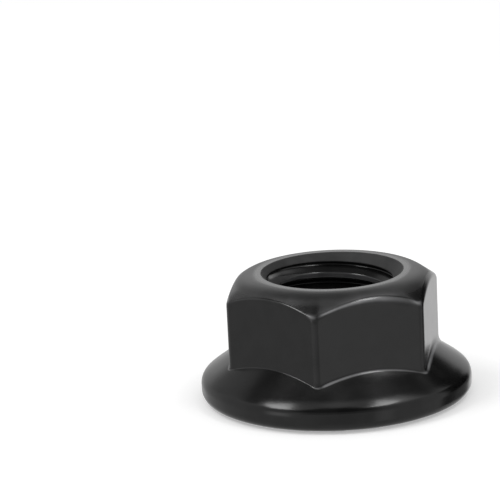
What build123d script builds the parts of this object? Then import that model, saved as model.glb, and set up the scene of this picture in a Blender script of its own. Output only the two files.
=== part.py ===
from build123d import *
import math
import os

# Serrated hexagon flange nut, M12 x 1.75, right-hand thread.
# The nut is one cold-forged piece: a hexagon on a wide rounded flange, a bore with a
# countersink at each end, and a ring of curved one-way teeth under the flange.
# Millimetres, +Z up. The origin is on the bore's axis, in the plane the teeth stand on.

# Bore: its wall is at the thread's minor diameter
thread_major_diameter = 12.0
thread_pitch = 1.75
thread_depth_share = 5 / 8  # of the height of the sharp triangle that the thread is cut from
countersink_diameter = 13.1
countersink_angle = 90.0

# Hexagon
across_flats = 18.0
nut_height = 11.7
hexagon_corner_radius = 0.9
land_diameter = 15.86  # where the flat top and the chamfer would meet in a sharp edge
land_edge_radius = 3.0  # the chamfer swells up into the flat top
chamfer_angle = 36.0

# Flange
flange_diameter = 25.0
flange_slope = 32.0
rim_lead_width = 0.95  # the ring outside the bearing face, where the underside rises to the rim
rim_lead_angle = 26.0
rim_bottom_radius = 0.85
rim_straight_height = 0.55
rim_top_radius = 1.05
flange_root_radius = 0.8  # the hollow corner where the hexagon's sides meet the flange

# Teeth under the flange, and the dished ring inside them
tooth_count = 24
tooth_depth = 0.2
tooth_start_depth = 0.02  # at the tooth circle, where the grooves run out into the dish
tooth_steep_share = 0.15  # of one tooth's pitch
tooth_land_share = 0.09
tooth_circle_diameter = 15.2  # the tooth edges leave this circle along it
dish_depth = 0.2
dish_diameter = 16.4

overshoot = 0.5  # how far a cutter runs past the surface that it opens
groove_sections = 6


def turned(outline):
    """The solid that an outline, drawn as distance and height, sweeps round the bore's axis."""
    return revolve(Plane.XZ * make_face(outline), axis=Axis.Z)


def hexagon():
    """The six-sided body with rounded corners, its top chamfered by a cone that domes inwards."""
    section = RegularPolygon(across_flats / 2, 6, major_radius=False)
    prism = extrude(fillet(section.vertices(), hexagon_corner_radius), nut_height)

    land = land_diameter / 2
    reach = across_flats
    eaves = nut_height - (reach - land) * math.tan(math.radians(chamfer_angle))
    roof = FilletPolyline(
        (0, nut_height), (land, nut_height), (reach, eaves), radius=land_edge_radius
    )
    walls = Polyline(roof @ 1, (reach, -overshoot), (0, -overshoot), roof @ 0)
    return prism & turned(roof + walls)


def flange():
    """The round flange: a cone over a flat bearing face, with a rounded rim."""
    rim = flange_diameter / 2
    bearing = rim - rim_lead_width
    slope = math.radians(flange_slope)
    lead = math.radians(rim_lead_angle)
    # each rounding takes its share of the rim's height, beside the straight part
    low_corner = rim_lead_width * math.tan(lead)
    low_share = rim_bottom_radius * math.tan((math.pi / 2 - lead) / 2)
    high_share = rim_top_radius * math.tan((math.pi / 2 - slope) / 2)
    high_corner = low_corner + low_share + rim_straight_height + high_share
    peak = high_corner + rim * math.tan(slope)
    edge = FilletPolyline(
        (0, 0), (bearing, 0), (rim, low_corner), (rim, high_corner), (0, peak),
        radius=[0, rim_bottom_radius, rim_top_radius],
    )
    return turned(edge + Line(edge @ 1, edge @ 0))


def blank():
    """The hexagon on its flange, with a rounded hollow corner between them."""
    body = hexagon() + flange()
    cone = body.faces().filter_by(GeomType.CONE).sort_by(Axis.Z)[1]
    plain = (GeomType.CIRCLE, GeomType.LINE)
    root = [edge for edge in cone.edges() if edge.geom_type not in plain]
    return fillet(root, flange_root_radius)


def bore():
    """What leaves the middle: the bore, a countersink at each end, and the dish round the lower one."""
    triangle_height = math.sqrt(3) / 2 * thread_pitch
    wall = thread_major_diameter / 2 - thread_depth_share * triangle_height
    mouth = countersink_diameter / 2
    lean = math.tan(math.radians(countersink_angle / 2))
    sunk = (mouth - wall) / lean
    spread = (dish_diameter / 2 - mouth) / dish_depth
    return turned(Polyline(
        (0, -overshoot),
        (dish_diameter / 2 + overshoot * spread, -overshoot),
        (mouth, dish_depth),
        (wall, dish_depth + sunk),
        (wall, nut_height - sunk),
        (mouth + overshoot * lean, nut_height + overshoot),
        (0, nut_height + overshoot),
        close=True,
    ))


def swing(radius):
    """How far round a tooth's edge has come at this radius, in radians.

    Seen from below, the edge is an arc that leaves the tooth circle along it and
    crosses the rim square.
    """
    start = tooth_circle_diameter / 2
    rim = flange_diameter / 2
    arc = (rim**2 - start**2) / (2 * start)
    far_side = start + 2 * arc
    return 2 * math.asin(math.sqrt(
        (radius - start) * (far_side - radius) / (4 * (start + arc) * radius)
    ))


def groove_section(share):
    """The groove's section at a share of its way from the tooth circle to past the rim.

    Going round with the angle, a steep wall climbs from one tooth's edge to the groove's
    bottom, and a long ramp comes back down to the next tooth's narrow land.
    """
    start = tooth_circle_diameter / 2
    radius = start + share * (flange_diameter / 2 + overshoot - start)
    depth = tooth_depth - (tooth_depth - tooth_start_depth) * (1 - share) ** 2

    pitch = 2 * math.pi / tooth_count
    opening = pitch * (1 - tooth_land_share)
    middle = swing(radius) + opening / 2
    half = radius * math.tan(opening / 2)
    bottom = radius * math.tan(pitch * tooth_steep_share - opening / 2)
    outward = Vector(math.cos(middle), math.sin(middle), 0)
    across = Vector(-math.sin(middle), math.cos(middle), 0)
    outline = Polyline(
        (-half, 0), (bottom, depth), (half, 0), (half, -overshoot), (-half, -overshoot),
        close=True,
    )
    return Plane(radius * outward, x_dir=across, z_dir=outward) * make_face(outline)


def teeth():
    """The grooves that leave the one-way teeth standing between them."""
    # the sections lie closer together near the tooth circle, where the edges curve most
    shares = [((index + 1) / groove_sections) ** 2 for index in range(groove_sections)]
    groove = loft([groove_section(share) for share in shares])
    return [Rot(0, 0, 360 / tooth_count * index) * groove for index in range(tooth_count)]


nut = blank() - bore() - teeth()
os.makedirs("parts", exist_ok=True)
export_step(nut, "parts/flange_nut.step")
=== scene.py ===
import logging
import math
from dataclasses import dataclass, field
from enum import Enum
from typing import Any, Optional, Union

import bmesh
import bpy
import numpy as np
from mathutils import Matrix, Quaternion, Vector


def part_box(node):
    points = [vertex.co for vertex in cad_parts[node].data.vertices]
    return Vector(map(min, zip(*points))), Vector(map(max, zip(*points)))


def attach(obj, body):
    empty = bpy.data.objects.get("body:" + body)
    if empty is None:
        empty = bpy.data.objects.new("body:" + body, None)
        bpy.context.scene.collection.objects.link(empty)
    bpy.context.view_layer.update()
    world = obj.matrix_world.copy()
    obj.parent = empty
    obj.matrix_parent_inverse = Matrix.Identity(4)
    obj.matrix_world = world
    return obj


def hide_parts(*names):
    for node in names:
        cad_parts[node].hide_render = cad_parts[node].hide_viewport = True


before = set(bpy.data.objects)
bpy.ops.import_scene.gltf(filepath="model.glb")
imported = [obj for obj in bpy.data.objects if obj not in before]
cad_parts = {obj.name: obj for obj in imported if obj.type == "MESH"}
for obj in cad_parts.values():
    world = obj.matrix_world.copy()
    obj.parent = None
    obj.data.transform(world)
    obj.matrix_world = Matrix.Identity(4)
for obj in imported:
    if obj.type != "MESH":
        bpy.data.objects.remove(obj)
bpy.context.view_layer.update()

# A serrated hexagon flange nut, M12 x 1.75. Lengths are in millimetres up to the point
# where a mesh is made, and the angles of the section are in radians.

MM = 0.001
NODE = "flange_nut"
BODY = "root"

TURN = 2 * math.pi
SIDES = 6  # of the hexagon
SIXTH = TURN / SIDES  # from one of its sides to the next
COLUMNS = 288  # round the bore's axis: 48 for each side of the hexagon, 12 for each tooth
PLAIN_ROWS = 7  # between two roundings
MERGE_DISTANCE = 1e-6  # metres
NOISE_MIDDLE = 0.5  # what a noise gives on average

Number = Union[float, np.ndarray]
Point = tuple[Number, Number]
Ends = tuple[tuple[float, float], ...]
Colour = tuple[float, float, float]

log = logging.getLogger("flange_nut")


class Layer(Enum):
    """The mesh's layers, which the finish reads."""

    WEAR_AND_HIGHLIGHT = "wear_and_highlight"  # how pale an edge is painted: partly rubbed metal, partly a painted highlight
    TURNED = "turned"  # 1 where the surface is turned on a lathe and 0 where it is forged


def placed(name: str, data: bpy.types.ID) -> bpy.types.Object:
    """Makes an object and puts it into the scene.

    Args:
        name: The object's name.
        data: The mesh, lamp or camera that it shows.

    Returns:
        The object.
    """
    made = bpy.data.objects.new(name, data)
    bpy.context.scene.collection.objects.link(made)
    return made


# ---------------------------------------------------------------------------------------
# Sections
# ---------------------------------------------------------------------------------------

def line(start: Point, end: Point, shares: list[float]) -> list[Point]:
    """Points on a straight stretch of a section.

    Args:
        start: Distance and height of the stretch's start.
        end: Distance and height of its end.
        shares: How far along the stretch each point lies, from 0 to 1.

    Returns:
        One point for each share.
    """
    return [
        (start[0] + share * (end[0] - start[0]), start[1] + share * (end[1] - start[1]))
        for share in shares
    ]


def rounded(corner: Point, arriving: float, leaving: float, radius: Number,
            steps: int) -> list[Point]:
    """Points on the arc that rounds a section's corner.

    Args:
        corner: Distance and height of the sharp corner.
        arriving: Direction in which the section reaches the corner.
        leaving: Direction in which it goes on.
        radius: Radius of the rounding.
        steps: How many chords the arc is made of.

    Returns:
        The arc's points, from its start on the arriving line to its end on the leaving one.
    """
    turn = leaving - arriving
    tangent = radius * math.tan(abs(turn) / 2)
    side = radius if turn > 0 else -radius
    centre_r = corner[0] - tangent * math.cos(arriving) - side * math.sin(arriving)
    centre_z = corner[1] - tangent * math.sin(arriving) + side * math.cos(arriving)
    points = []
    for step in range(steps + 1):
        heading = arriving + turn * step / steps
        points.append((
            centre_r + side * math.sin(heading),
            centre_z - side * math.cos(heading),
        ))
    return points


def spaced(count: int) -> list[float]:
    """Shares strictly between 0 and 1, closer together near both ends."""
    return [
        (1 - math.cos(math.pi * (index + 1) / (count + 1))) / 2 for index in range(count)
    ]


@dataclass
class Skin:
    """Rows of points with a face between each two neighbours of two rows."""

    points: np.ndarray  # in metres, as rows, columns and axes
    wear_and_highlight: np.ndarray
    turned: np.ndarray


@dataclass
class Band:
    """Rows of points round the nut's axis, which follow one another along its section."""

    angles: list[np.ndarray] = field(default_factory=list)
    radii: list[np.ndarray] = field(default_factory=list)
    heights: list[np.ndarray] = field(default_factory=list)
    wear_and_highlight: list[np.ndarray] = field(default_factory=list)
    turned: list[np.ndarray] = field(default_factory=list)

    def add(self, angle: np.ndarray, radius: Number, height: Number,
            wear_and_highlight: Number = 0.0, turned: Number = 0.0) -> None:
        """Adds one row.

        Args:
            angle: Where each of the row's points lies round the axis.
            radius: Their distance from the axis.
            height: Their height.
            wear_and_highlight: How pale an edge is painted there, from 0 to 1: partly rubbed
                metal, partly a painted highlight.
            turned: 1 where the surface is turned on a lathe and 0 where it is forged.
        """
        blank = np.zeros_like(angle)
        self.angles.append(angle)
        self.radii.append(blank + radius)
        self.heights.append(blank + height)
        self.wear_and_highlight.append(blank + wear_and_highlight)
        self.turned.append(blank + turned)

    def skin(self) -> Skin:
        """Closes each row by a last point that repeats its first.

        Returns:
            The rows as a skin.
        """
        angle, radius, height, wear_and_highlight, turned = (
            np.array(rows)
            for rows in (self.angles, self.radii, self.heights, self.wear_and_highlight, self.turned)
        )
        points = np.stack([radius * np.cos(angle), radius * np.sin(angle), height], axis=-1)
        points, wear_and_highlight, turned = (
            np.concatenate([rows, rows[:, :1]], axis=1) for rows in (points, wear_and_highlight, turned)
        )
        return Skin(points * MM, wear_and_highlight, turned)


def even_columns() -> np.ndarray:
    """Angles of evenly spaced columns."""
    return TURN * np.arange(COLUMNS) / COLUMNS


def blended(first: Number, second: Number, share: Number) -> np.ndarray:
    """A number or an array of them, part of the way from a first one to a second."""
    return first + share * (second - first)


# ---------------------------------------------------------------------------------------
# The nut
# ---------------------------------------------------------------------------------------

@dataclass(frozen=True)
class EdgeWearAndHighlight:
    """How pale one of the rounded edges that run round the hexagon is painted: the top edge
    partly rubbed metal and partly a painted highlight, the hollow root a painted highlight only.
    """

    sides: Ends  # at each side's start and end
    corners: float
    palest_row: float  # counted from the edge's first row
    spread: float  # rows
    shift: float = 0.0  # how far the corners' paleness has moved round the axis
    sharpness: int = 3  # how closely it keeps to the corners

    def across(self, row: int) -> float:
        """How much of the paleness one row of the edge shows."""
        return math.exp(-((row - self.palest_row) / self.spread)**2)


@dataclass
class Hexagon:
    """The six-sided body: its sides, its rounded corners, and the crown that tops it."""

    height: float
    apothem: float = 9.0
    corner_radius: float = 0.75
    land_radius: float = 7.93  # where the flat top and the chamfer would meet in a sharp edge
    land_edge_radius: float = 3.0
    chamfer: float = math.radians(36)
    side_edge_radius: float = 0.75  # between the crown and a side
    corner_edge_radius: float = 0.8  # between the crown and a corner
    # the dies have left each side a little different: these are shares at each side's start
    # and end, from the side between the corners at 0 and 60 degrees on
    edge_softness: Ends = ((0.9, 0.8), (0.6, 0.6), (0.8, 0.7), (0.5, 0.4), (0.6, 1.7), (0.9, 0.9))
    root_softness: Ends = ((1.5, 1.2), (0.8, 0.8), (0.9, 0.8), (0.4, 0.2), (0.9, 0.7), (1.3, 1.6))
    # painted paleness along two edges: the top edge partly rubbed metal and partly a painted
    # highlight, the hollow root a painted highlight only
    top_wear_and_highlight: EdgeWearAndHighlight = EdgeWearAndHighlight(
        sides=((0.8, 0.6), (0.4, 0.4), (0.6, 0.5), (0.1, 0.1), (1.4, 0.25), (0.0, 0.1)),
        corners=0.9, palest_row=2.5, spread=1.8, shift=math.radians(2),
    )
    root_highlight: EdgeWearAndHighlight = EdgeWearAndHighlight(
        sides=((0.8, 0.6), (0.4, 0.4), (0.6, 0.5), (0.1, 0.1), (1.6, 0.3), (1.1, 0.6)),
        corners=0.6, palest_row=6, spread=1.5,
    )
    # the upright corners' paleness: a little rubbed metal and a painted highlight
    upright_wear_and_highlight: float = 0.05
    upright_fall: float = 1.6  # how fast the upright edges' paleness falls off beside a corner
    halo: float = 0.3  # painted sheen: how pale the crown is painted beside its top edge
    halo_fill: float = 2.5  # how soon the sheen is that pale, as the edge's own paleness grows
    halo_sharpness: int = 4  # how closely it keeps to the edge
    crown_turned: float = 0.5  # how coarsely the crown is turned, beside the countersinks
    turned_start: float = 0.2  # of that, beside the land
    turned_rise: float = 4.0  # how fast the marks come up from there
    turned_end: float = 0.3  # how far past the middle of a side they have faded
    turned_fade: float = 0.5  # over what distance they fade
    turned_least: float = 0.1  # what stays of them on the corners
    side_blend: float = 0.06  # sides, to either side of a corner
    near_reach: float = 3.0  # how far beside a corner its forms reach, in half corners
    gathered: float = 1.15  # half corners, over which the columns are gathered
    corner_columns: int = 14
    crown_rows: int = 17
    edge_steps: int = 8

    def columns(self) -> np.ndarray:
        """Spaces the columns, closer together at the six rounded corners.

        Returns:
            Their angles round the axis.
        """
        corner = self._corner_half_angle() * self.gathered
        near = np.linspace(-corner, corner, self.corner_columns + 1)
        per_side = COLUMNS // SIDES
        far = np.linspace(corner, SIXTH - corner, per_side - self.corner_columns + 1)[1:-1]
        one = np.concatenate([near, far])
        return np.concatenate([one + SIXTH * index for index in range(SIDES)])

    def plan_radius(self, angle: np.ndarray) -> np.ndarray:
        """Measures the plan, sides and rounded corners alike.

        Args:
            angle: Where to measure.

        Returns:
            The distance from the axis at each angle.
        """
        from_corner = self._from_corner(angle)
        flat = self.apothem / np.cos(SIXTH / 2 - from_corner)
        centre = self._corner_centre()
        reach = np.sqrt(np.maximum(
            self.corner_radius**2 - (centre * np.sin(from_corner))**2, 0
        ))
        corner = centre * np.cos(from_corner) + reach
        return np.where(from_corner < self._corner_half_angle(), corner, flat)

    def nearness(self, angle: np.ndarray) -> np.ndarray:
        """Tells how near each angle is to a corner.

        Args:
            angle: Where to tell.

        Returns:
            1 at the middle of a rounded corner, and 0 from a corner's width beside it.
        """
        reach = self.near_reach * self._corner_half_angle()
        share = np.clip(self._from_corner(angle) / reach, 0, 1)
        return (1 - share**2)**2

    def along_sides(self, ends: Ends, angle: np.ndarray) -> np.ndarray:
        """A share at each angle, which changes evenly along each side and round the corners.

        Args:
            ends: The share at each side's start and end.
            angle: Where to take it.

        Returns:
            The share at each angle.
        """
        places, shares = [], []
        for index, pair in enumerate(ends):
            places += [index + self.side_blend, index + 1 - self.side_blend]
            shares += pair
        return np.interp(angle / SIXTH, places, shares, period=SIDES)

    def side_wear_and_highlight(self, edge: EdgeWearAndHighlight, angle: np.ndarray) -> np.ndarray:
        """How pale an edge is painted along the sides (a painted highlight, with rubbed metal on
        the top edge), fading towards the corners.
        """
        return (1 - self.nearness(angle)) * self.along_sides(edge.sides, angle)

    def edge_wear_and_highlight(self, edge: EdgeWearAndHighlight, angle: np.ndarray) -> np.ndarray:
        """How pale an edge is painted all the way round, corners and all (a painted highlight,
        with rubbed metal on the top edge).
        """
        corners = edge.corners * self.nearness(angle + edge.shift)**edge.sharpness
        return np.maximum(self.side_wear_and_highlight(edge, angle), corners)

    def corner_wear_and_highlight(self, angle: np.ndarray) -> np.ndarray:
        """How pale the upright edges are painted, partly rubbed metal and partly a painted
        highlight: a little at the corners, and not beside them.
        """
        share = self._from_corner(angle) / self._corner_half_angle()
        return self.upright_wear_and_highlight * np.clip(self.upright_fall * (1 - share), 0, 1)

    def crown_painted_sheen(self, angle: np.ndarray, share: float) -> np.ndarray:
        """How pale the crown is painted beside its top edge, a painted sheen, at a share of the
        way from the land to its edge.
        """
        along = np.minimum(self.halo_fill * self.side_wear_and_highlight(self.top_wear_and_highlight, angle), 1)
        return self.halo * along * share**self.halo_sharpness

    def crown_marks(self, radius: np.ndarray, share: float) -> np.ndarray:
        """How coarsely the crown is turned.

        Args:
            radius: Distance from the axis.
            share: How far that is on the way from the land to the crown's edge.

        Returns:
            The marks' strength, which is less beside the land and least on the corners.
        """
        inward = (self.apothem + self.turned_end - radius) / self.turned_fade
        coarseness = self.crown_turned * np.clip(inward, self.turned_least, 1)
        return coarseness * min(self.turned_start + self.turned_rise * share, 1)

    def crown_start(self) -> float:
        """Distance from the axis to where the land starts to dome down to the chamfer."""
        return self.land_radius - self.land_edge_radius * math.tan(self.chamfer / 2)

    def crown_height(self, radius: np.ndarray) -> np.ndarray:
        """Measures the dome and the chamfer's cone.

        Args:
            radius: Distance from the axis.

        Returns:
            The height at each distance.
        """
        out = np.maximum(radius - self.crown_start(), 0)
        reach = self.land_edge_radius * math.sin(self.chamfer)
        drop = self.land_edge_radius - np.sqrt(
            self.land_edge_radius**2 - np.minimum(out, reach)**2
        )
        return self.height - drop - np.maximum(out - reach, 0) * math.tan(self.chamfer)

    def top_edge(self, angle: np.ndarray) -> list[Point]:
        """The rounding between the crown and the sides.

        Args:
            angle: Where to take it.

        Returns:
            Its points, from where it leaves the dome or the cone to the side.
        """
        radius = blended(
            self.side_edge_radius * self.along_sides(self.edge_softness, angle),
            self.corner_edge_radius, self.nearness(angle),
        )
        centre_r = self.plan_radius(angle) - radius
        inside = self.land_edge_radius - radius
        lean = np.arcsin(np.clip((centre_r - self.crown_start()) / inside, 0, 1))
        lean = np.minimum(lean, self.chamfer)
        centre_z = self.crown_height(centre_r + radius * np.sin(lean)) - radius * np.cos(lean)
        points = []
        for step in range(self.edge_steps + 1):
            heading = blended(lean, math.pi / 2, step / self.edge_steps)
            points.append((
                centre_r + radius * np.sin(heading), centre_z + radius * np.cos(heading)
            ))
        return points

    def _from_corner(self, angle: np.ndarray) -> np.ndarray:
        """How far round the axis each angle lies from the nearest corner."""
        return np.abs((angle + SIXTH / 2) % SIXTH - SIXTH / 2)

    def _corner_centre(self) -> float:
        """Distance from the axis to the centre of a corner's rounding."""
        return (self.apothem - self.corner_radius) / math.cos(SIXTH / 2)

    def _corner_half_angle(self) -> float:
        """Measures a corner's rounding.

        Returns:
            How far round the axis it reaches to either side of the corner.
        """
        across = self.corner_radius * math.sin(SIXTH / 2)
        along = self._corner_centre() + self.corner_radius * math.cos(SIXTH / 2)
        return math.atan2(across, along)


@dataclass
class Flange:
    """The round flange under the hexagon, with its rounded rim."""

    radius: float
    slope: float = math.radians(34.5)
    shoulder_slope: float = math.radians(40)  # where the shoulder meets the rim's rounding
    shoulder_radius: float = 9.0
    lead_width: float = 0.95
    lead: float = math.radians(26)
    bottom_radius: float = 0.85
    straight: float = 0.55
    top_radius: float = 1.05
    root_radius: float = 0.65  # of the hollow corner under the hexagon
    root_steps: int = 8
    shoulder_steps: int = 5
    upper_steps: int = 10
    lower_steps: int = 9

    def lead_start(self) -> float:
        """Distance from the axis to where the bearing ring starts to rise to the rim."""
        return self.radius - self.lead_width

    def low_corner(self) -> Point:
        """The sharp corner that the rim's lower rounding takes away."""
        return self.radius, self.lead_width * math.tan(self.lead)

    def high_corner(self) -> Point:
        """Stacks the rim's lead, lower rounding, straight part and upper rounding.

        Returns:
            The sharp corner that the upper rounding takes away.
        """
        low_share = self.bottom_radius * math.tan((math.pi / 2 - self.lead) / 2)
        high_share = self.top_radius * math.tan((math.pi / 2 - self.shoulder_slope) / 2)
        return self.radius, self.low_corner()[1] + low_share + self.straight + high_share

    def shoulder_corner(self) -> Point:
        """Measures back from the rim by the shoulder's own length.

        Returns:
            The blunt corner that the shoulder takes away, between the cone and the rim.
        """
        edge = self.upper_rim()[0]
        back = self.shoulder_radius * math.tan((self.shoulder_slope - self.slope) / 2)
        return (
            edge[0] - back * math.cos(self.shoulder_slope),
            edge[1] + back * math.sin(self.shoulder_slope),
        )

    def cone_height(self, radius: Number) -> Number:
        """Height of the flange's upper cone at this distance from the axis."""
        corner = self.shoulder_corner()
        return corner[1] + (corner[0] - radius) * math.tan(self.slope)

    def root(self, wall: np.ndarray, softness: np.ndarray) -> list[Point]:
        """The hollow corner between the hexagon's sides and the cone.

        Args:
            wall: Distance from the axis to the sides.
            softness: The radius at each place, as a share of the usual one.

        Returns:
            Its points, from the sides to the cone.
        """
        return rounded(
            (wall, self.cone_height(wall)), -math.pi / 2, -self.slope,
            self.root_radius * softness, self.root_steps
        )

    def shoulder(self) -> list[Point]:
        """The shoulder, from the cone to the rim's upper rounding."""
        return rounded(
            self.shoulder_corner(), -self.slope, -self.shoulder_slope,
            self.shoulder_radius, self.shoulder_steps
        )

    def upper_rim(self) -> list[Point]:
        """The rim's upper rounding, from the shoulder to its straight part."""
        return rounded(
            self.high_corner(), -self.shoulder_slope, -math.pi / 2, self.top_radius,
            self.upper_steps
        )

    def lower_rim(self) -> list[Point]:
        """The rim's lower rounding, from its straight part to the lead cone."""
        return rounded(
            self.low_corner(), -math.pi / 2, -math.pi + self.lead, self.bottom_radius,
            self.lower_steps
        )


@dataclass
class ThreadedBore:
    """The bore with its right-hand thread and a countersink at each end."""

    height: float
    major_radius: float = 6.0
    pitch: float = 1.75
    depth_share: float = 5 / 8  # of the height of the sharp triangle the thread is cut from
    crest_share: float = 1 / 8  # of the pitch, for half the width of a crest
    root_share: float = 1 / 16  # the same for a root
    start: float = 0.92  # how far the thread is turned about the axis, in whole turns
    mouth_radius: float = 6.55
    lower_height: float = 0.2  # of the lower mouth, above the teeth's crests
    countersink: float = math.pi / 4  # between the countersinks' cones and the nut's top
    mouth_edge_radius: float = 0.15
    run_out: float = 0.05  # how softly the thread's edges run out into the countersinks
    clearance: float = 0.12  # from the thread's roots to the rings that end it
    corner: float = 0.05  # half the width of the roundings of the thread's crests and roots
    # the crests are painted pale: partly rubbed metal, partly a painted highlight
    crest_wear_and_highlight: float = 0.3
    crest_pale_depth: float = 0.06  # how deep below the crests the paleness ends
    flank_steps: int = 6
    mouth_steps: int = 4

    def minor_radius(self) -> float:
        """Distance from the axis to the thread's crests."""
        return self.major_radius - self.depth_share * math.sqrt(3) / 2 * self.pitch

    def ring_radius(self) -> float:
        """Distance from the axis to the rings where the thread's own rows end."""
        return self.major_radius + self.clearance

    def ring_heights(self) -> tuple[float, float]:
        """Heights of the lower and the upper of those rings."""
        in_from_mouth = self.mouth_radius - self.ring_radius()
        return self.lower_height + in_from_mouth, self.height - in_from_mouth

    def upper_mouth(self) -> list[Point]:
        """The rounded edge between the upper countersink and the nut's flat top."""
        return rounded(
            (self.mouth_radius, self.height), self.countersink, 0, self.mouth_edge_radius,
            self.mouth_steps
        )

    def lower_mouth(self, slope: float) -> list[Point]:
        """The rounded edge between the dish, which rises inwards by a slope, and the bore."""
        return rounded(
            (self.mouth_radius, self.lower_height), math.pi - slope,
            math.pi - self.countersink, self.mouth_edge_radius, self.mouth_steps
        )

    def _profile(self) -> tuple[list[float], list[float]]:
        """Draws the thread's section over half a pitch, from a crest's middle to a root's.

        Returns:
            Distances along the axis, and distances from it.
        """
        crest = self.pitch * self.crest_share
        root = self.pitch / 2 - self.pitch * self.root_share
        inner, outer, corner = self.minor_radius(), self.major_radius, self.corner
        slant = (outer - inner) / (root - crest)
        straight = root - crest - 2 * corner
        flank = [
            crest + corner + straight * step / self.flank_steps
            for step in range(self.flank_steps + 1)
        ]
        mid_crest = crest * 0.55
        along = [0, mid_crest, crest - corner, crest, *flank, root, root + corner]
        shallow = corner * slant / 4  # what a rounding takes off the crest's or root's edge
        radii = [inner, inner, inner, inner + shallow]
        radii += [inner + (place - crest) * slant for place in flank]
        radii += [outer - shallow, outer]
        return along + [self.pitch / 2], radii + [outer]

    def skin(self) -> Skin:
        """Winds the thread's section up the bore.

        Returns:
            Rows that climb with the thread by one pitch in each turn.
        """
        along, radii = self._profile()
        along = along[:-1] + [self.pitch - place for place in reversed(along[1:])]
        radii = radii[:-1] + list(reversed(radii[1:]))
        low, high = self.ring_heights()
        # one turn more below and above than the bore takes, so that both rings are closed
        turns = range(-1, math.ceil((high - low) / self.pitch) + 2)
        foot = np.array([
            low + self.pitch * (turn - self.start) + place for turn in turns for place in along
        ])
        thread = np.array(radii * len(turns))
        angle = np.append(even_columns(), TURN)
        height = np.clip(foot[:, None] + self.pitch * angle / TURN, low, high)
        mouth = self.mouth_radius - np.minimum(height - self.lower_height, self.height - height)
        gap = thread[:, None] - mouth
        radius = mouth + (gap + np.sqrt(gap**2 + self.run_out**2)) / 2
        radius = np.where((height > low) & (height < high), radius, self.ring_radius())
        points = np.stack(
            [radius * np.cos(angle), radius * np.sin(angle), height], axis=-1
        )
        # pale crests, partly rubbed metal and partly a painted highlight
        depth = (radius - self.minor_radius()) / self.crest_pale_depth
        wear_and_highlight = self.crest_wear_and_highlight * np.clip(1 - depth, 0, 1)
        return Skin(points * MM, wear_and_highlight, np.clip(-gap / self.run_out, 0, 1))


@dataclass
class SerratedFace:
    """The underside: a flat bearing ring cut by curved one-way teeth, round a dished ring."""

    flange: Flange
    bore: ThreadedBore
    tooth_count: int = 24
    depth: float = 0.2
    start_depth: float = 0.02
    steep_share: float = 0.15
    land_share: float = 0.09
    tooth_circle: float = 7.6
    past_rim: float = 0.5
    dish_radius: float = 8.2
    edge_share: float = 0.022  # half the width of a tooth edge's rounding
    break_width: float = 0.06  # of the rounding between the bearing ring and its neighbours
    lead_margin: float = 0.15  # how far past the lead cone its rows go
    dish_margin: float = 0.2  # how far before the dish its rows start
    row_counts: tuple[int, int, int] = (10, 14, 8)  # for the lead, the bearing ring, the dish

    def columns(self) -> np.ndarray:
        """Spaces the columns, gathered at the edges of each tooth.

        Returns:
            Their angles, counted from the first tooth's steep edge.
        """
        pitch = TURN / self.tooth_count
        steep, land, edge = self.steep_share, 1 - self.land_share, self.edge_share
        ramp = land - steep
        shares = np.array([
            -edge, 0, edge, steep - edge, steep, steep + edge,
            steep + 0.25 * ramp, steep + 0.5 * ramp, steep + 0.75 * ramp,
            land - edge, land, land + edge,
        ])
        return np.concatenate([pitch * (index + shares) for index in range(self.tooth_count)])

    def swing(self, radius: float) -> float:
        """Follows the arc of a tooth's edge, which leaves the tooth circle along it.

        Args:
            radius: Distance from the axis.

        Returns:
            How far round the axis the edge has come there.
        """
        start, rim = self.tooth_circle, self.flange.radius
        arc = (rim**2 - start**2) / (2 * start)
        far_side = start + 2 * arc
        inside = (radius - start) * (far_side - radius) / (4 * (start + arc) * radius)
        return 2 * math.asin(math.sqrt(max(inside, 0)))

    def groove(self, radius: float, share: np.ndarray) -> np.ndarray:
        """Height of the grooves' roof.

        Args:
            radius: Distance from the axis.
            share: How far round the tooth's pitch each point lies, from its steep edge.

        Returns:
            The height at each point, with the edges of the teeth a little rounded.
        """
        along = (radius - self.tooth_circle) / (
            self.flange.radius + self.past_rim - self.tooth_circle
        )
        lost = (self.depth - self.start_depth) * (1 - along)**2
        deepest = max(self.depth - lost, 0) if along > 0 else 0
        edges = [0, self.steep_share, 1 - self.land_share, 1]
        levels = [0, deepest, 0, 0]
        blur = self.edge_share / 2
        return sum(
            weight * np.interp((share + offset) % 1, edges, levels)
            for offset, weight in ((-blur, 0.25), (0, 0.5), (blur, 0.25))
        )

    def plain_height(self, radius: float) -> float:
        """Height of the underside between the teeth's grooves."""
        return (
            self._ramp(radius - self.flange.lead_start()) * math.tan(self.flange.lead)
            + self._ramp(self.dish_radius - radius) * math.tan(self.dish_slope())
        )

    def dish_slope(self) -> float:
        """How steeply the dish rises inwards to the bore's mouth."""
        return math.atan2(self.bore.lower_height, self.dish_radius - self.bore.mouth_radius)

    def row_radii(self) -> list[float]:
        """Spaces the rows that cross the teeth, from the rim inwards.

        Returns:
            Their distances from the axis.
        """
        stops = (
            self.flange.lower_rim()[-1][0],
            self.flange.lead_start() - self.lead_margin,
            self.dish_radius + self.dish_margin,
            self.tooth_circle,
        )
        radii = []
        for outer, inner, count in zip(stops, stops[1:], self.row_counts):
            radii += list(np.linspace(outer, inner, count + 1))[1:]
        return radii

    def _ramp(self, distance: float) -> float:
        """0 before a corner and the distance past it after, with the corner rounded."""
        return (distance + math.hypot(distance, self.break_width)) / 2


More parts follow.
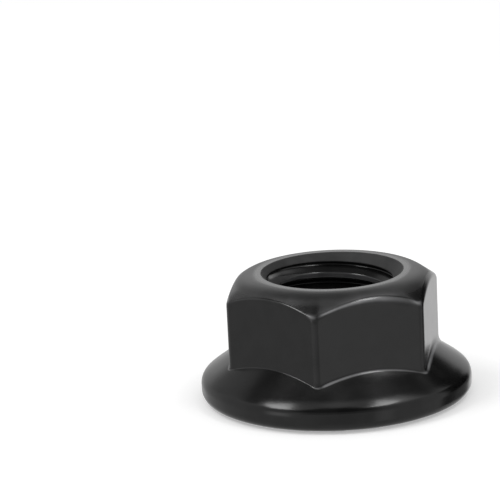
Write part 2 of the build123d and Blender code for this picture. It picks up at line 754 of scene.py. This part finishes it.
@dataclass
class FlangeNut:
    """The whole nut as one closed mesh, built from the section's bands."""

    height: float
    flange_radius: float
    # how pale the upper mouth's rounded edge is painted
    mouth_paleness: float = 0.1
    land_turned: float = 0.1  # how coarsely the land is turned, beside the countersinks
    hexagon: Hexagon = field(init=False)
    flange: Flange = field(init=False)
    bore: ThreadedBore = field(init=False)
    face: SerratedFace = field(init=False)

    def __post_init__(self) -> None:
        """Makes the parts of the nut that give the mesh its bands."""
        self.hexagon = Hexagon(self.height)
        self.flange = Flange(self.flange_radius)
        self.bore = ThreadedBore(self.height)
        self.face = SerratedFace(self.flange, self.bore)

    def build(self, finish: "BlackFinish") -> bpy.types.Object:
        """Builds the mesh and gives it its finish.

        Args:
            finish: The finish of the whole nut.

        Returns:
            The nut's object.
        """
        mesh_kit = bmesh.new()
        for layer in Layer:
            mesh_kit.verts.layers.float.new(layer.value)
        for skin in (self._upper().skin(), self._lower().skin(), self.bore.skin()):
            self._add_skin(mesh_kit, skin)
        bmesh.ops.remove_doubles(mesh_kit, verts=mesh_kit.verts, dist=MERGE_DISTANCE)
        mesh = bpy.data.meshes.new("nut_mesh")
        mesh_kit.to_mesh(mesh)
        mesh_kit.free()
        mesh.shade_smooth()
        nut = placed("black_flange_nut", mesh)
        even = nut.modifiers.new("even_shading", "WEIGHTED_NORMAL")
        even.mode = "FACE_AREA"
        mesh.materials.append(finish.material())
        return nut

    def _add_skin(self, mesh_kit: bmesh.types.BMesh, skin: Skin) -> None:
        """Adds a skin to the mesh.

        Args:
            mesh_kit: The mesh.
            skin: The points, between which the faces are made.
        """
        # pale edges painted into the colour: partly rubbed metal, partly a painted highlight
        wear_and_highlight_layer = mesh_kit.verts.layers.float[Layer.WEAR_AND_HIGHLIGHT.value]
        turned_layer = mesh_kit.verts.layers.float[Layer.TURNED.value]
        grid = []
        for points, wear_and_highlight, turned in zip(skin.points, skin.wear_and_highlight, skin.turned):
            row = [mesh_kit.verts.new(point) for point in points]
            for vertex, paled, lathed in zip(row, wear_and_highlight, turned):
                vertex[wear_and_highlight_layer] = paled
                vertex[turned_layer] = lathed
            grid.append(row)
        for row, after in zip(grid, grid[1:]):
            for left in range(len(row) - 1):
                mesh_kit.faces.new([row[left], after[left], after[left + 1], row[left + 1]])

    def _upper(self) -> Band:
        """Builds the nut's upper part.

        Returns:
            The rows from the bore's upper end out over the hexagon to the flange's rim.
        """
        band = Band()
        self._add_top(band)
        self._add_sides(band)
        return band

    def _lower(self) -> Band:
        """Builds the nut's lower part.

        Returns:
            The rows from the flange's rim in under the nut to the bore's lower end.
        """
        band = Band()
        self._add_rim(band)
        self._add_underside(band)
        return band

    def _add_top(self, band: Band) -> None:
        """Adds the upper countersink and the flat land, up to the crown's dome.

        Args:
            band: The band that the rows go to.
        """
        bore, hexagon = self.bore, self.hexagon
        ring = bore.ring_radius(), bore.ring_heights()[1]
        mouth = bore.upper_mouth()
        sunk = line(ring, mouth[0], [0, 0.4, 0.8]) + mouth[:-2]
        land = line(mouth[-1], (hexagon.crown_start(), self.height), [0.2, 0.5, 0.8])
        paled = mouth[1:-1]
        for point in sunk:
            wear_and_highlight = self.mouth_paleness if point in paled else 0
            band.add(even_columns(), *point, wear_and_highlight=wear_and_highlight, turned=1)
        # the columns pass from even ones to those that the hexagon's corners gather
        for share, point in zip([0, 0, 0.25, 0.5, 0.75], mouth[-2:] + land):
            wear_and_highlight = self.mouth_paleness if point in paled else 0
            angle = blended(even_columns(), hexagon.columns(), share)
            band.add(angle, *point, wear_and_highlight=wear_and_highlight, turned=self.land_turned)

    def _add_sides(self, band: Band) -> None:
        """Adds the crown, the hexagon's sides and the flange's cone.

        Args:
            band: The band that the rows go to.
        """
        hexagon, flange = self.hexagon, self.flange
        angle = hexagon.columns()
        top_edge = hexagon.top_edge(angle)
        root = flange.root(
            hexagon.plan_radius(angle), hexagon.along_sides(hexagon.root_softness, angle)
        )
        for share in np.linspace(0, 1, hexagon.crown_rows + 1)[:-1]:
            radius = blended(hexagon.crown_start(), top_edge[0][0], share)
            band.add(
                angle, radius, hexagon.crown_height(radius),
                wear_and_highlight=hexagon.crown_painted_sheen(angle, share),
                turned=hexagon.crown_marks(radius, share),
            )
        # the top edge: rubbed metal with a painted highlight
        self._add_pale_edge(band, angle, top_edge, hexagon.top_wear_and_highlight)
        # the sides, whose upright corners are a little rubbed and carry a painted highlight
        for point in line(top_edge[-1], root[0], spaced(PLAIN_ROWS)):
            band.add(angle, *point, wear_and_highlight=hexagon.corner_wear_and_highlight(angle))
        # the hollow root under the sides, with a painted highlight along it
        self._add_pale_edge(band, angle, root, hexagon.root_highlight)
        shoulder = flange.shoulder()
        for point in line(root[-1], shoulder[0], spaced(PLAIN_ROWS)) + shoulder:
            band.add(angle, *point)

    def _add_pale_edge(self, band: Band, angle: np.ndarray, points: list[Point],
                       edge: EdgeWearAndHighlight) -> None:
        """Adds one of the edges that run round the hexagon.

        Args:
            band: The band that the edge's rows go to.
            angle: The columns' angles.
            points: The edge's section.
            edge: How pale it is painted.
        """
        pale = self.hexagon.edge_wear_and_highlight(edge, angle)
        for row, point in enumerate(points):
            band.add(angle, *point, wear_and_highlight=pale * edge.across(row))

    def _add_rim(self, band: Band) -> None:
        """Adds the rim, where the columns pass from the hexagon's corners to the teeth.

        Args:
            band: The band that the rows go to.
        """
        upper, lower = self.flange.upper_rim(), self.flange.lower_rim()
        stretch = upper + line(upper[-1], lower[0], [0.5]) + lower
        after = self.face.columns() + self.face.swing(lower[-1][0])
        before = self.hexagon.columns()
        first = int(np.searchsorted(before, after[0]))
        before = np.concatenate([before[first:], before[:first] + TURN])
        for index, point in enumerate(stretch):
            band.add(blended(before, after, index / (len(stretch) - 1)), *point)

    def _add_underside(self, band: Band) -> None:
        """Adds the lead cone, the teeth, the dish and the lower countersink.

        Args:
            band: The band that the rows go to.
        """
        face, bore = self.face, self.bore
        pitch = TURN / face.tooth_count
        shares = (face.columns() / pitch) % 1
        for radius in face.row_radii():
            angle = face.columns() + face.swing(radius)
            height = np.maximum(face.plain_height(radius), face.groove(radius, shares))
            band.add(angle, radius, height)
        mouth = bore.lower_mouth(face.dish_slope())
        inner = face.tooth_circle, face.plain_height(face.tooth_circle)
        ring = bore.ring_radius(), bore.ring_heights()[0]
        stretch = line(inner, mouth[0], [0.3, 0.6, 0.9]) + mouth
        stretch += line(mouth[-1], ring, [0.3, 0.7, 1])
        for index, point in enumerate(stretch):
            share = (index + 1) / len(stretch)
            band.add(blended(face.columns(), even_columns(), share), *point)


# ---------------------------------------------------------------------------------------
# Finishes
# ---------------------------------------------------------------------------------------

class Operation(Enum):
    """What a Math node works out."""

    ADD = "ADD"
    SUBTRACT = "SUBTRACT"
    MULTIPLY = "MULTIPLY"
    LARGER = "MAXIMUM"
    SIZE = "ABSOLUTE"
    FOLD = "PINGPONG"
    ARCSINE = "ARCSINE"
    ARCTANGENT = "ARCTAN2"


class Value:
    """A number from a node, which can be written into sums; each sum adds a Math node."""

    def __init__(self, graph: "Graph", socket: bpy.types.NodeSocket) -> None:
        """Keeps the socket and the graph that it belongs to."""
        self.graph = graph
        self.socket = socket

    def _math(self, operation: Operation, *terms: "Term") -> "Value":
        """Adds one Math node.

        Args:
            operation: The node's operation.
            terms: Its inputs in order.

        Returns:
            The node's result.
        """
        node = self.graph.node(
            "ShaderNodeMath", {"operation": operation.value}, dict(enumerate(terms))
        )
        return Value(self.graph, node.outputs[0])

    def __add__(self, other: "Term") -> "Value":
        """self + other."""
        return self._math(Operation.ADD, self, other)

    def __radd__(self, other: "Term") -> "Value":
        """other + self."""
        return self._math(Operation.ADD, other, self)

    def __sub__(self, other: "Term") -> "Value":
        """self - other."""
        return self._math(Operation.SUBTRACT, self, other)

    def __rsub__(self, other: "Term") -> "Value":
        """other - self."""
        return self._math(Operation.SUBTRACT, other, self)

    def __mul__(self, other: "Term") -> "Value":
        """self * other."""
        return self._math(Operation.MULTIPLY, self, other)

    def __rmul__(self, other: "Term") -> "Value":
        """other * self."""
        return self._math(Operation.MULTIPLY, other, self)

    def either(self, other: "Term") -> "Value":
        """The larger of the two."""
        return self._math(Operation.LARGER, self, other)

    def arctangent(self, other: "Term") -> "Value":
        """The angle whose sine and cosine are in proportion to self and other."""
        return self._math(Operation.ARCTANGENT, self, other)

    def arcsine(self) -> "Value":
        """The angle whose sine this is."""
        return self._math(Operation.ARCSINE, self)

    def size(self) -> "Value":
        """The number without its sign."""
        return self._math(Operation.SIZE, self)

    def folded(self, half: float) -> "Value":
        """How far the number lies from 0 on a circle of twice this half."""
        return self._math(Operation.FOLD, self, half)

    def step(self, start: float, end: float) -> "Value":
        """0 up to start and 1 from end on, with a smooth rise between them."""
        node = self.graph.node(
            "ShaderNodeMapRange", {"interpolation_type": "SMOOTHSTEP"},
            {"Value": self, "From Min": start, "From Max": end},
        )
        return Value(self.graph, node.outputs[0])


Term = Union[Value, float]


class Graph:
    """The nodes of one material or world."""

    def __init__(self, owner: Union[bpy.types.Material, bpy.types.World]) -> None:
        """Empties the owner's node tree and takes it over.

        Args:
            owner: The material or world.
        """
        owner.use_nodes = True
        self.tree = owner.node_tree
        self.tree.nodes.clear()

    def node(self, kind: str, settings: Optional[dict[str, Any]] = None,
             sockets: Optional[dict[Union[int, str], Any]] = None) -> bpy.types.Node:
        """Adds a node.

        Args:
            kind: The node's type.
            settings: Its properties, which are set first.
            sockets: What goes into its inputs: a value, or a Value or output to link.

        Returns:
            The new node.
        """
        node = self.tree.nodes.new(kind)
        for name, setting in (settings or {}).items():
            setattr(node, name, setting)
        for key, term in (sockets or {}).items():
            if isinstance(term, Value):
                term = term.socket
            if isinstance(term, bpy.types.NodeSocket):
                self.tree.links.new(term, node.inputs[key])
            else:
                node.inputs[key].default_value = term
        return node

    def value(self, kind: str, output: Union[int, str],
              settings: Optional[dict[str, Any]] = None,
              sockets: Optional[dict[Union[int, str], Any]] = None) -> Value:
        """Adds a node and gives one of its outputs as a number."""
        return Value(self, self.node(kind, settings, sockets).outputs[output])

    def number(self, number: float) -> Value:
        """Adds a node that holds a plain number.

        Args:
            number: The number.

        Returns:
            The node's output.
        """
        value = self.value("ShaderNodeValue", 0)
        value.socket.default_value = number
        return value

    def layer(self, layer: Layer) -> Value:
        """Adds a node that reads one of the mesh's layers."""
        return self.value("ShaderNodeAttribute", "Fac", {"attribute_name": layer.value})

    def mix(self, share: Term, first: Any, second: Any) -> bpy.types.NodeSocket:
        """Adds a Mix node for colours.

        Args:
            share: How much of the second colour there is.
            first: The colour, or the socket of the colour, at a share of 0.
            second: The same at a share of 1.

        Returns:
            The socket of the mixed colour.
        """
        first, second = (
            (*colour, 1) if isinstance(colour, tuple) else colour for colour in (first, second)
        )
        node = self.node(
            "ShaderNodeMix", {"data_type": "RGBA"}, {0: share, 6: first, 7: second}
        )
        return node.outputs[2]

    def noise(self, coordinates: bpy.types.NodeSocket, grain: float, detail: float) -> Value:
        """Adds a Noise node.

        Args:
            coordinates: Where each point of the surface lies, in metres.
            grain: The size of the noise's coarsest spots in millimetres.
            detail: How many finer layers it has.

        Returns:
            The noise, about 0.5 on average.
        """
        return self.value(
            "ShaderNodeTexNoise", 0, None,
            {"Vector": coordinates, "Scale": 1 / (grain * MM), "Detail": detail},
        )

    def finish(self, kind: str, shader: bpy.types.NodeSocket) -> None:
        """Links the finished shader to an output node of this type."""
        self.node(kind, None, {"Surface": shader})


@dataclass(frozen=True)
class BlackFinish:
    """A satin black coat on forged steel, its edges painted paler and smoother: partly rubbed
    metal, partly a painted highlight.
    """

    deep: Colour = (0.004, 0.004, 0.004)
    pale: Colour = (0.007, 0.007, 0.007)
    # the edges' pale colour: rubbed steel in part, and in part a painted highlight
    edge: Colour = (0.24, 0.24, 0.245)
    edge_strength: float = 0.9
    turned: Colour = (0.019, 0.019, 0.019)
    turned_pale: Colour = (0.03, 0.03, 0.03)
    roughness: float = 0.17
    turned_roughness: float = 0.62
    roughness_spread: float = 0.05
    edge_smoothness: float = 0.06
    refraction: float = 1.52
    mottle_size: float = 1.6
    mottle_layers: int = 5
    patch_edges: tuple[float, float] = (0.35, 0.65)  # of the mottle, where the paler patches are
    streak_width: float = 0.3  # of the marks that forging draws down the sides
    streak_length: float = 8.0
    ring_width: float = 0.12  # of the marks that turning leaves
    mark_layers: int = 2
    mark_depth: float = 0.0012
    grain_size: float = 0.14
    grain_layers: int = 3
    grain_depth: float = 0.0008
    dent_size: float = 1.6
    dent_layers: int = 2
    dent_depth: float = 0.003

    def material(self) -> bpy.types.Material:
        """Mixes the coat.

        Returns:
            Its material.
        """
        material = bpy.data.materials.new("black_satin_coat")
        graph = Graph(material)
        place = graph.node("ShaderNodeTexCoord").outputs["Object"]
        mottle = graph.noise(place, self.mottle_size, self.mottle_layers)
        grain = graph.noise(place, self.grain_size, self.grain_layers)
        # the edges painted pale: partly rubbed metal, partly a painted highlight, speckled by the
        # mottle
        edge = graph.layer(Layer.WEAR_AND_HIGHLIGHT) * (NOISE_MIDDLE + mottle) * self.edge_strength

        turned = graph.layer(Layer.TURNED)
        patches = mottle.step(*self.patch_edges)
        coat = graph.mix(
            turned, graph.mix(patches, self.deep, self.pale),
            graph.mix(patches, self.turned, self.turned_pale),
        )
        colour = graph.mix(edge, coat, self.edge)
        roughness = (
            self.roughness + turned * (self.turned_roughness - self.roughness)
            + (mottle + grain - 2 * NOISE_MIDDLE) * self.roughness_spread
            - edge * self.edge_smoothness
        )
        marks = self._marks(graph, place, turned)
        dents = graph.noise(place, self.dent_size, self.dent_layers)
        relief = (
            grain * self.grain_depth + dents * self.dent_depth + marks * self.mark_depth
        ) * MM
        bump = graph.node(
            "ShaderNodeBump", None, {"Strength": 1.0, "Distance": 1.0, "Height": relief}
        )
        shader = graph.node("ShaderNodeBsdfPrincipled", None, {
            "Base Color": colour,
            "Roughness": roughness,
            "Normal": bump.outputs[0],
            "IOR": self.refraction,
        })
        graph.finish("ShaderNodeOutputMaterial", shader.outputs[0])
        return material

    def _marks(self, graph: "Graph", place: bpy.types.NodeSocket, turned: Value) -> Value:
        """The marks of the tools: streaks where the steel is forged, rings where it is turned.

        Args:
            graph: The coat's nodes.
            place: Where each point of the surface lies.
            turned: 1 where the surface is turned and 0 where it is forged.

        Returns:
            The height of the marks, as a noise.
        """
        parts = graph.node("ShaderNodeSeparateXYZ", None, {0: place}).outputs
        across = graph.value("ShaderNodeVectorMath", "Value", {"operation": "LENGTH"}, {
            0: graph.node("ShaderNodeCombineXYZ", None, {0: parts[0], 1: parts[1]}).outputs[0],
        })
        radial = graph.node("ShaderNodeCombineXYZ", None, {0: across, 1: parts[2]}).outputs[0]
        rings = graph.noise(radial, self.ring_width, self.mark_layers)
        squeezed = graph.node("ShaderNodeVectorMath", {"operation": "MULTIPLY"}, {
            0: place, 1: (1, 1, self.streak_width / self.streak_length),
        }).outputs[0]
        streaks = graph.noise(squeezed, self.streak_width, self.mark_layers)
        return streaks * (1 - turned) + rings * turned


@dataclass(frozen=True)
class PaleFloor:
    """A plain pale floor that keeps the nut's shadow and isn't there from below."""

    colour: Colour = (0.86, 0.86, 0.86)
    lift: float = 0.34  # light that only the camera sees, so that the floor meets the backdrop
    roughness: float = 0.9
    half_width: float = 1.5  # metres

    def material(self) -> bpy.types.Material:
        """Mixes the floor's surface.

        Returns:
            Its material.
        """
        material = bpy.data.materials.new("pale_floor")
        graph = Graph(material)
        surface = graph.node("ShaderNodeBsdfPrincipled", None, {
            "Base Color": (*self.colour, 1),
            "Roughness": self.roughness,
            "Specular IOR Level": 0.0,
        })
        seen = graph.value("ShaderNodeLightPath", "Is Camera Ray")
        glow = graph.node("ShaderNodeEmission", None, {"Strength": seen * self.lift})
        lit = graph.node("ShaderNodeAddShader", None, {0: surface.outputs[0], 1: glow.outputs[0]})
        under = graph.value("ShaderNodeNewGeometry", "Backfacing")
        clear = graph.node("ShaderNodeBsdfTransparent")
        sided = graph.node(
            "ShaderNodeMixShader", None, {0: under, 1: lit.outputs[0], 2: clear.outputs[0]}
        )
        graph.finish("ShaderNodeOutputMaterial", sided.outputs[0])
        return material

    def build(self) -> bpy.types.Object:
        """Builds the floor.

        Returns:
            The floor's object.
        """
        reach = self.half_width
        corners = [(-reach, -reach, 0), (reach, -reach, 0), (reach, reach, 0), (-reach, reach, 0)]
        mesh = bpy.data.meshes.new("floor_mesh")
        mesh.from_pydata(corners, [], [(0, 1, 2, 3)])
        mesh.materials.append(self.material())
        floor = placed("floor", mesh)
        floor.visible_glossy = False
        return floor


# ---------------------------------------------------------------------------------------
# Studio
# ---------------------------------------------------------------------------------------

@dataclass(frozen=True)
class Viewpoint:
    """The camera, by where the nut's origin stands in its square frame."""

    frame_pixels: float = 500.0
    origin_column: float = 336.9455
    origin_row: float = 391.5716
    focal_pixels: float = 2472.13
    depth: float = 229.375  # from the lens to the nut's origin, along the camera's axis
    pitch: float = 0.2516
    roll: float = -0.0495
    turn: float = math.radians(-18.1)  # about the nut's axis, from facing its +Y
    sensor: float = 36.0
    nearest: float = 0.01  # in metres: what is closer than that isn't seen

    def azimuth(self, bearing: float) -> float:
        """The direction round the nut's axis that lies so many degrees right of the camera."""
        return self.turn + math.radians(bearing - 90)

    def build(self) -> bpy.types.Object:
        """Builds the camera and makes it the scene's.

        Returns:
            The camera's object.
        """
        data = bpy.data.cameras.new("camera")
        data.sensor_width = self.sensor
        data.lens = self.sensor * self.focal_pixels / self.frame_pixels
        data.clip_start = self.nearest
        camera = placed("camera", data)

        level = Vector((1, 0, 0))
        upward = Vector((0, math.sin(self.pitch), math.cos(self.pitch)))
        ahead = Vector((0, math.cos(self.pitch), -math.sin(self.pitch)))
        right = math.cos(self.roll) * level + math.sin(self.roll) * upward
        up = math.cos(self.roll) * upward - math.sin(self.roll) * level
        middle = self.frame_pixels / 2
        across = (self.origin_column - middle) / self.focal_pixels * self.depth
        below = (self.origin_row - middle) / self.focal_pixels * self.depth
        place = (up * below - right * across - ahead * self.depth) * MM
        pose = Matrix((right, up, -ahead)).transposed().to_4x4()
        pose.translation = place
        camera.matrix_world = Matrix.Rotation(self.turn, 4, "Z") @ pose
        bpy.context.scene.camera = camera
        return camera


@dataclass(frozen=True)
class SoftBox:
    """A rectangular lamp that faces the nut."""

    name: str
    bearing: float  # degrees to the right of the camera, seen from the nut
    elevation: float  # degrees
    distance: float  # metres, as are the lamp's own sizes
    width: float
    height: float
    roll: float  # degrees, from level, with its end of larger bearing upwards
    watts: float

    def build(self, viewpoint: Viewpoint, aim: Vector) -> bpy.types.Object:
        """Builds the lamp.

        Args:
            viewpoint: The camera that the bearing is counted from.
            aim: The point that the lamp faces.

        Returns:
            The lamp's object.
        """
        data = bpy.data.lights.new(self.name, "AREA")
        data.energy = self.watts
        data.shape = "RECTANGLE"
        data.size = self.width
        data.size_y = self.height
        lamp = placed(self.name, data)
        azimuth = viewpoint.azimuth(self.bearing)
        elevation = math.radians(self.elevation)
        away = Vector((
            math.cos(azimuth) * math.cos(elevation),
            math.sin(azimuth) * math.cos(elevation),
            math.sin(elevation),
        ))
        lamp.location = aim + away * self.distance
        rolled = Quaternion((0, 0, 1), math.radians(self.roll))
        lamp.rotation_euler = (away.to_track_quat("Z", "Y") @ rolled).to_euler()
        return lamp


@dataclass(frozen=True)
class Panel:
    """A soft-edged stretch of the room, counted in degrees seen from the nut."""

    bearing: float  # to the right of the camera
    elevation: float
    half_width: float
    half_height: float
    level: float
    softness: float = 6.0

    def cover(self, bearing: Value, elevation: Value) -> Value:
        """Tells whether a direction meets the panel.

        Args:
            bearing: The direction's bearing in degrees.
            elevation: Its elevation in degrees.

        Returns:
            1 inside the panel and 0 outside it.
        """
        across = (bearing - self.bearing).folded(180.0)
        along = (elevation - self.elevation).size()
        outside = across.step(
            self.half_width - self.softness, self.half_width + self.softness
        ).either(along.step(
            self.half_height - self.softness, self.half_height + self.softness
        ))
        return 1 - outside


@dataclass(frozen=True)
class Room:
    """The pale room that the nut's coat mirrors, and its even light."""

    ambient: float = 0.75
    walls: float = 0.64
    panels: tuple[Panel, ...] = (
        # behind the nut
        Panel(bearing=180, elevation=0, half_width=32, half_height=30, level=0.8),
        Panel(bearing=163, elevation=-17, half_width=14, half_height=10, level=1.12),
        Panel(bearing=180, elevation=22, half_width=19, half_height=6, level=2.15),
        Panel(bearing=180, elevation=66, half_width=76, half_height=22, level=0.12),
        # high on the right
        Panel(bearing=88, elevation=60, half_width=20, half_height=6, level=2.0),
        Panel(bearing=79, elevation=53, half_width=27, half_height=5, level=1.2),
        # above and around the camera
        Panel(bearing=-4, elevation=62, half_width=42, half_height=28, level=0.04),
        Panel(bearing=0, elevation=86, half_width=80, half_height=5, level=1.1, softness=2.0),
        Panel(bearing=0, elevation=27, half_width=32, half_height=9, level=0.26),
        Panel(bearing=7, elevation=-6, half_width=24, half_height=22, level=0.52),
        # to the camera's left and right
        Panel(bearing=-52, elevation=3, half_width=9, half_height=14, level=1.6),
        Panel(bearing=38, elevation=-5, half_width=7, half_height=19, level=0.95),
        # the dark corner, behind on the right
        Panel(bearing=124, elevation=-13, half_width=22, half_height=12, level=0.2),
        Panel(bearing=106, elevation=-18, half_width=9, half_height=8, level=0.1,
              softness=4.0),
        Panel(bearing=124, elevation=12, half_width=21, half_height=18, level=0.0,
              softness=4.0),
        Panel(bearing=137, elevation=30, half_width=12, half_height=13, level=0.0,
              softness=3.0),
        # behind on the left, and high behind on the right
        Panel(bearing=-143, elevation=32, half_width=13, half_height=12, level=0.45),
        Panel(bearing=152, elevation=45, half_width=9, half_height=9, level=0.9),
    )

    def build(self, viewpoint: Viewpoint) -> bpy.types.World:
        """Builds the world's light.

        Args:
            viewpoint: The camera that the room's bearings are counted from.

        Returns:
            The world.
        """
        world = bpy.data.worlds.new("pale_room")
        bpy.context.scene.world = world
        graph = Graph(world)
        direction = graph.node("ShaderNodeTexCoord").outputs["Generated"]
        turned = graph.node("ShaderNodeVectorRotate", {"rotation_type": "Z_AXIS"}, {
            "Vector": direction, "Angle": -viewpoint.azimuth(0),
        })
        parts = graph.node("ShaderNodeSeparateXYZ", None, {0: turned.outputs[0]})
        along, across, upward = (Value(graph, output) for output in parts.outputs)
        bearing = across.arctangent(along) * math.degrees(1)
        elevation = upward.arcsine() * math.degrees(1)

        mirrored = graph.number(self.walls)
        for panel in self.panels:
            cover = panel.cover(bearing, elevation)
            mirrored = mirrored * (1 - cover) + cover * panel.level
        path = graph.node("ShaderNodeLightPath").outputs
        camera = Value(graph, path["Is Camera Ray"])
        glossy = Value(graph, path["Is Glossy Ray"]).either(
            Value(graph, path["Is Transmission Ray"])
        )
        level = self.ambient * (1 - glossy) + glossy * mirrored
        light = graph.node("ShaderNodeBackground", None, {
            "Strength": level * (1 - camera) + camera,
        })
        graph.finish("ShaderNodeOutputWorld", light.outputs[0])
        return world


LAMPS = (
    SoftBox("left_lamp", bearing=-79, elevation=57, distance=0.5, width=0.23, height=0.125,
            roll=-38, watts=0.55),
    SoftBox("right_lamp", bearing=70, elevation=64.5, distance=0.5, width=0.17, height=0.1,
            roll=24, watts=0.3),
)


def main() -> None:
    """Builds the studio and the nut, and reports each piece."""
    logging.basicConfig(level=logging.INFO, format="%(name)s: %(message)s")
    low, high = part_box(NODE)
    viewpoint = Viewpoint()
    viewpoint.build()
    log.info("camera at %.0f mm", viewpoint.depth)
    Room().build(viewpoint)
    middle = (low + high) / 2
    for lamp in LAMPS:
        lamp.build(viewpoint, middle)
        log.info("lamp %s", lamp.name)
    floor = PaleFloor().build()
    log.info("floor")

    nut = FlangeNut(height=high.z / MM, flange_radius=(high.x - low.x) / 2 / MM)
    piece = nut.build(BlackFinish())
    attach(piece, BODY)
    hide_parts(NODE)
    log.info("piece %s: %d faces", piece.name, len(piece.data.polygons))
    bpy.context.scene.view_settings.view_transform = "Standard"


if __name__ == "__main__":
    main()
